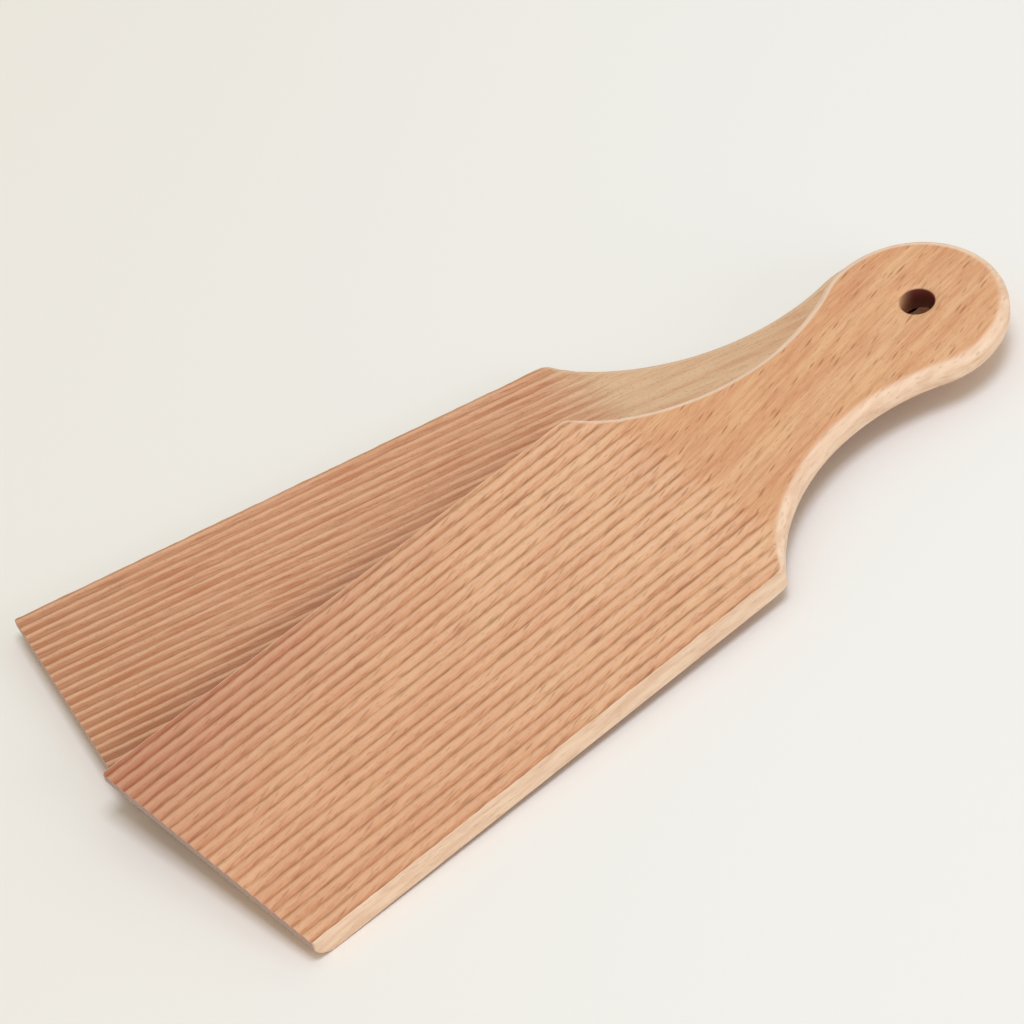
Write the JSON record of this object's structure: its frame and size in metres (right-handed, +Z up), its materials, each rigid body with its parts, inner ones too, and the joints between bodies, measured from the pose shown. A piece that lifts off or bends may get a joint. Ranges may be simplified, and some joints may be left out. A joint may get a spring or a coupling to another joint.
{
  "type": "butter paddles",
  "caption": "Ribbed beech butter paddles with square blades, waisted handles and hanging holes, lying fanned across each other; used to squeeze and shape butter.",
  "frame": {"origin": "on the table, under the middle of the pair's bounding box", "axes": "+X midway between the paddles' long axes, from the blade tips towards the round heads; +Z up from the table"},
  "size_m": [0.2162, 0.1272, 0.0162],
  "materials": {
    "lower_beech": "planed and milled beech, bare",
    "upper_beech": "planed and milled beech, bare"
  },
  "bodies": {
    "lower": {"lower_paddle": "lower_beech"},
    "upper": {"upper_paddle": "upper_beech"}
  },
  "joints": [
    {"name": "upper_lift", "type": "slide", "parent": "lower", "child": "upper", "axis": [0, 0, 1], "range_m": [0, 0.06]}
  ]
}
